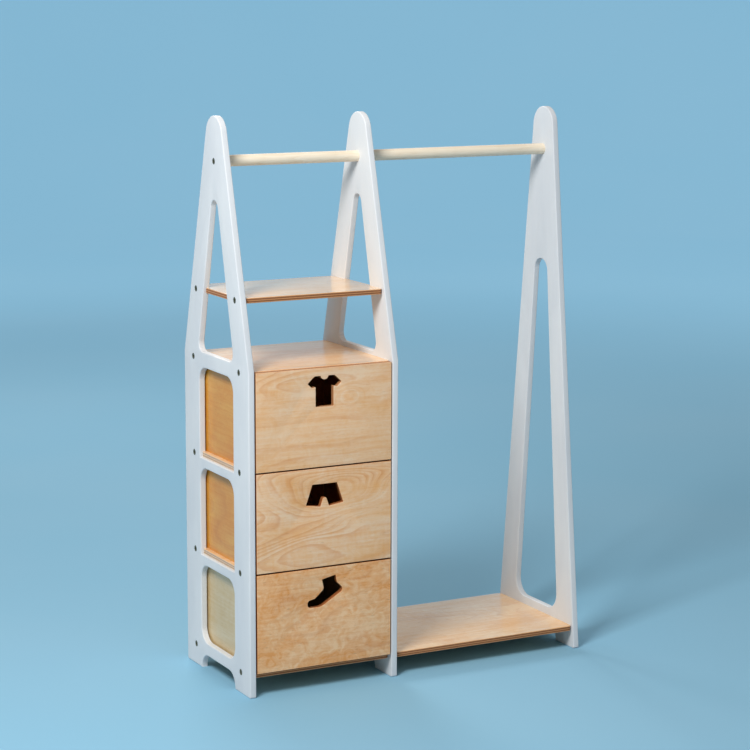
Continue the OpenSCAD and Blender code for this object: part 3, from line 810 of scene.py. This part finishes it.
def sock(cutter):
    """Ankle sock that points to the left, drawn down from its cuff."""
    return [(27.5, 0, cutter), (-7, -7.5, cutter), (-2, -29.5, 10), (-25, -50.5, 6),
            (-43.5, -54, 8), (-43.5, -70.5, 8), (-14, -70.5, 8), (-5, -68, 8),
            (44, -39, 8), (44, -30.5, 6), (30.5, -17.5, 8)]


class RACK_OT_drawer_fronts(Operator):
    """Build the three drawer fronts with their finger cut-outs"""
    bl_idname = "rack.drawer_fronts"
    bl_label = "Drawer fronts"

    def execute(self, context):
        size = context.scene.rack_drawers
        # Painted shade: the darker edge layers go only on the middle and bottom fronts, whose top
        # edges show in the gaps between the fronts; on their cut-out rims they are the wood's own
        # orange-brown.
        edges = (size.edge_pale, size.edge_dark)
        upper = dict(tints=(size.front_pale, size.front_warm, size.front_ring), flecks=0.15)
        fronts = {
            "top_drawer": (shirt, size.shirt_drop, size.top_arris, dict(
                upper, seed=1.3, rings=15, figure=0.65, curl=0.5,
                knot=(0.062, 0.045, 0), spread=(0.03, 0.02, 0.3))),
            "middle_drawer": (shorts, size.shorts_drop, size.arris, dict(
                upper, edges=edges, seed=4.6, rings=24, figure=0.7, patches=1.8, curl=0.7,
                knot=(0.03, 0.045, 0), spread=(0.12, 0.055, 0.42))),
            "bottom_drawer": (sock, size.sock_drop, size.arris, dict(
                tints=(size.low_pale, size.low_warm, size.low_ring), edges=edges, seed=7.7,
                rings=14, figure=0.4, patches=2.0, mottle=2.0, curl=0.6)),
        }
        for drawer, (garment, drop, arris, look) in fronts.items():
            node = drawer + "_front"
            low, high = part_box(node)
            middle, thick = (low.x + high.x) / 2, high.y - low.y
            left, right = low.x + size.end_step, high.x - size.end_step
            sheet = [(left, low.z, 0), (right, low.z, 0), (right, high.z, 0), (left, high.z, 0)]
            hole = [(middle + x / 1000, high.z - drop + z / 1000, r / 1000)
                    for x, z, r in garment(size.cutter * 1000)]
            section = plate_section(thick, arris)
            loops = [(*outline(sheet), section), (*outline(hole, hole=True), section)]
            piece = plate("ply_" + node, (0, high.y, 0), RIGHT, UP, loops)
            material = ply_material(node, RIGHT, UP, thick, **look)
            finish_piece(piece, node, material)
        return {"FINISHED"}


def dress_node(node, material):
    """Gives a CAD node that keeps its own shape its material."""
    mesh = FRAME["nodes"][node].data
    mesh.materials.clear()
    mesh.materials.append(material)


class RACK_OT_drawer_boxes(Operator):
    """Finish the sides, backs and bottoms of the drawers in clear plywood"""
    bl_idname = "rack.drawer_boxes"
    bl_label = "Drawer boxes"

    def execute(self, context):
        size = context.scene.rack_drawers
        boards = {"left_side": (BACK, UP, 0), "right_side": (BACK, UP, 0),
                  "back": (RIGHT, UP, 1), "bottom": (RIGHT, BACK, 2)}
        for number, drawer in enumerate(DRAWERS):
            tints, figure = (size.side_pale, size.side_warm, size.side_ring), 0.35
            if drawer == "bottom_drawer":
                tints, figure = (size.last_pale, size.last_warm, size.last_ring), 0.15
            for order, (part, (grain, across, axis)) in enumerate(boards.items()):
                node = drawer + "_" + part
                low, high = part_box(node)
                seed = 11.0 + 4.3 * number + 1.9 * order
                dress_node(node, ply_material(
                    node, grain, across, high[axis] - low[axis], tints, seed,
                    figure=figure, mottle=0.6, curl=0.4, flecks=0.25))
        return {"FINISHED"}


class RACK_OT_rails(Operator):
    """Turn the two round rails"""
    bl_idname = "rack.rails"
    bl_label = "Round rails"

    def execute(self, context):
        size = context.scene.rack_rails
        for seed, node in enumerate(("short_rail", "long_rail")):
            low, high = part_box(node)
            radius, chamfer, reach = (high.z - low.z) / 2, size.chamfer, high.x - low.x
            centre = (low.x, 0, (low.z + high.z) / 2)
            profile = [(0, 0), (0, radius - chamfer), (chamfer, radius),
                       (reach - chamfer, radius), (reach, radius - chamfer), (reach, 0)]
            piece = turned_rod("turned_" + node, [centre], RIGHT, profile, 96)
            finish_piece(piece, node, rail_material(node, float(seed)))
        return {"FINISHED"}


def rail_material(node, seed):
    """Pale solid wood with long fine grain lines round the rail."""
    size = bpy.context.scene.rack_rails
    material, graph, vector = piece_material("wood", node, RIGHT, BACK)
    math, times, noise = graph.math, graph.times, graph.noise
    x, y, z = graph.split(vector)
    moved = graph.join(math("ADD", x, seed), y, z)
    wander = noise(moved, 3.0, 40.0, 40.0, warp=0.4)
    late = math("POWER", math("FRACT", times(wander, 7.0)), 3.0)
    fibre = noise(moved, 22.0, 900.0, 900.0, detail=3.0, rough=0.6)
    smear = graph.place("handling", handling_group, {"Vector": moved, "Seed": seed})["Smear"]
    tint = times(late, 0.35, times(fibre, 0.35))
    tint = times(smear, 0.18, tint, clamp=True)
    graph.surface(times(late, -0.4, fibre), 0.35,
                  Base_Color=graph.mix(tint, size.pale, size.streak),
                  Roughness=times(smear, -0.1, 0.5))
    return material


def steel_material(node):
    """Blackened steel, with bright spots where the blacking is thin."""
    size = bpy.context.scene.rack_screws
    material, graph, vector = piece_material("steel", node, RIGHT, BACK)
    marks = graph.place("handling", handling_group, {"Vector": vector, "Seed": 0.7})
    grit = graph.noise(vector, 900.0, 900.0, 900.0, detail=3.0, rough=0.65)
    thin = graph.times(marks["Scratch"], 0.4, graph.ease(grit, 0.45, 0.75))
    thin = graph.times(thin, 0.6, clamp=True)
    graph.surface(grit, 0.3, RELIEF / 2, Base_Color=graph.mix(thin, size.steel, size.worn),
                  Metallic=1.0, Roughness=graph.times(grit, 0.2, 0.4))
    return material


class RACK_OT_screws(Operator):
    """Turn the gable screws and finish the other steel screws"""
    bl_idname = "rack.screws"
    bl_label = "Steel screws"

    def execute(self, context):
        size = context.scene.rack_screws
        head, shank, flat = size.head / 2, size.shank / 2, size.socket / 2
        rim, sunk = size.rim, size.head_height * 2 / 3
        # From the socket's floor out over the head and down to the tip. Only the socket is a hexagon.
        profile = [(sunk, 0), (sunk, flat), (size.socket_rim, flat), (0, flat + size.socket_rim),
                   (0, head - rim), (rim / 3, head - rim / 3), (rim, head),
                   (size.head_height, head), (size.head_height, shank),
                   (size.reach - size.tip, shank), (size.reach, shank - size.tip), (size.reach, 0)]

        def flats(angle):
            """Factor 1 / cos(angle from the middle of a flat) for the rows of the socket."""
            factor = np.ones((len(profile), len(angle)))
            factor[1:4] = 1 / np.cos(np.mod(angle, pi / 3) - pi / 6)
            return factor

        rows, shelf, rail = screw_places()
        sets = {"left_gable_screws": (rows + shelf + rail, 0, RIGHT),
                "middle_gable_screws": (rows[2:] + shelf, 1, -RIGHT),
                "right_gable_screws": (rows[:2] + rail, 1, -RIGHT)}
        for node, (places, end, along) in sets.items():
            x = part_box(node)[end].x
            heads = [(x, y, z) for y, z in places]
            piece = turned_rod("steel_" + node, heads, along, profile, 48, bend=flats)
            finish_piece(piece, node, steel_material(node))
        for node in ("through_screws", *[name + "_screws" for name in DRAWERS]):
            dress_node(node, steel_material(node))
        return {"FINISHED"}


AIM = Vector((0, 0, 0.62))
KEY_PLACE, BACK_PLACE = (-2.15, -1.5, 2.9), (0.35, 3.3, 2.9)
CAMERA_PLACE = (-2.505, -4.723, 1.621)


class RACK_OT_studio(Operator):
    """Set out the floor, the backdrop, the lamps and the camera"""
    bl_idname = "rack.studio"
    bl_label = "Studio"

    def execute(self, context):
        scene, size = context.scene, context.scene.rack_studio
        studio_floor(size)
        add_lamp("key_lamp", KEY_PLACE, size.key_size, size.key_power)
        add_lamp("back_lamp", BACK_PLACE, size.back_size, size.back_power)
        world = bpy.data.worlds.new("soft_studio")
        scene.world = world
        world.use_nodes = True
        light = world.node_tree.nodes["Background"]
        Graph(world.node_tree).put(light.inputs, {"Color": (1, 1, 1, 1), "Strength": size.ambient})
        scene.camera = rack_camera()
        scene.view_settings.view_transform = "Standard"
        return {"FINISHED"}


def studio_floor(size):
    """Floor that sweeps up into a backdrop all round.

    The profile is a flat disc, then a quarter circle, then a wall, and it is swung right round.
    """
    hub, rings, spokes = 0.02, 11, 128
    bend = np.linspace(0, pi / 2, 25)
    radius = np.concatenate([np.linspace(hub, size.flat_radius, rings + 1)[:-1],
                             size.flat_radius + size.wall_radius * np.sin(bend)])
    height = np.concatenate([np.zeros(rings), size.wall_radius * (1 - np.cos(bend))])
    angle = np.arange(spokes) * tau / spokes
    grid = np.stack([radius[:, None] * np.cos(angle), radius[:, None] * np.sin(angle),
                     np.broadcast_to(height[:, None], (len(radius), spokes))], 2)
    floor = make_piece("studio_floor", grid.reshape(-1, 3), [strips(0, len(radius), spokes)],
                       [np.arange(spokes)[None, :]], crease=pi)
    floor.data.materials.append(floor_material(size))
    return floor


def floor_material(size):
    """Matt floor. The bright backdrop and its glow show only to the camera and in reflections."""
    shadowed, glow_start, glow_full = (0.5, 0.62, 0.7, 1.0), 1.8, 7.0
    material, graph = new_material("studio_floor")
    vector = graph.add("TexCoord").outputs["Object"]
    cloud = graph.noise(vector, 0.8, 0.8, 0.8)
    shade = graph.mix(graph.ease(cloud, 0.2, 0.8, 0.0, 0.1), size.floor, shadowed)
    path = graph.add("LightPath").outputs
    seen = graph.math("ADD", path["Is Camera Ray"], path["Is Glossy Ray"])
    seen = graph.math("ADD", seen, path["Is Transmission Ray"], clamp=True)
    distance = graph.vector("LENGTH", vector)
    far = graph.ease(distance, glow_start, glow_full, 0.0, size.backdrop_glow)
    graph.surface(Base_Color=graph.mix(seen, size.bounce, shade), Roughness=0.85,
                  Specular_IOR_Level=0.1, Emission_Color=size.glow,
                  Emission_Strength=graph.times(far, seen))
    return material


def add_lamp(name, place, size, power):
    """Square soft lamp that faces the middle of the rack."""
    lamp = bpy.data.lights.new(name, "AREA")
    lamp.size = size
    lamp.energy = power
    holder = new_object(name, lamp)
    holder.location = place
    holder.rotation_euler = (AIM - Vector(place)).to_track_quat("-Z", "Y").to_euler()


def rack_camera():
    """Camera to the left of the front, a little above the rack's middle and turned by a hair."""
    azimuth, elevation, roll = radians(27.66), radians(9.99), radians(0.16)
    level = cos(elevation)
    ahead = Vector((sin(azimuth) * level, cos(azimuth) * level, -sin(elevation)))
    right = ahead.cross(UP).normalized()
    up = right.cross(ahead)
    across, upward = cos(roll) * right + sin(roll) * up, cos(roll) * up - sin(roll) * right
    turned = Matrix((across, upward, -ahead)).transposed().to_4x4()
    lens = bpy.data.cameras.new("rack_camera")
    lens.lens = 110.48
    lens.sensor_width = 36.0
    lens.clip_end = 60.0
    camera = new_object("rack_camera", lens)
    camera.matrix_world = Matrix.Translation(CAMERA_PLACE) @ turned
    return camera


class RACK_PT_sidebar(Panel):
    bl_idname = "RACK_PT_sidebar"
    bl_label = "Clothing rack"
    bl_space_type = "VIEW_3D"
    bl_region_type = "UI"
    bl_category = "Clothing rack"

    def draw(self, context):
        for name, (_, operators) in PARTS.items():
            settings = getattr(context.scene, name)
            box = self.layout.box()
            for key in settings.__annotations__:
                box.prop(settings, key)
            for operator in operators:
                box.operator(operator.bl_idname)


PARTS = {
    "rack_gables": (RackGables, [RACK_OT_gables]),
    "rack_boards": (RackBoards, [RACK_OT_boards]),
    "rack_drawers": (RackDrawers, [RACK_OT_drawer_fronts, RACK_OT_drawer_boxes]),
    "rack_rails": (RackRails, [RACK_OT_rails]),
    "rack_screws": (RackScrews, [RACK_OT_screws]),
    "rack_studio": (RackStudio, [RACK_OT_studio]),
}
SETTINGS = {name: settings for name, (settings, _) in PARTS.items()}
OPERATORS = [operator for _, operators in PARTS.values() for operator in operators]
CLASSES = [*SETTINGS.values(), *OPERATORS, RACK_PT_sidebar]


def register():
    for kind in CLASSES:
        bpy.utils.register_class(kind)
    for name, kind in SETTINGS.items():
        setattr(bpy.types.Scene, name, PointerProperty(type=kind))


def unregister():
    for name in SETTINGS:
        delattr(bpy.types.Scene, name)
    for kind in reversed(CLASSES):
        bpy.utils.unregister_class(kind)


def main():
    register()
    for operator in OPERATORS:
        group_name, action = operator.bl_idname.split(".")
        getattr(getattr(bpy.ops, group_name), action)()


if __name__ == "__main__":
    main()
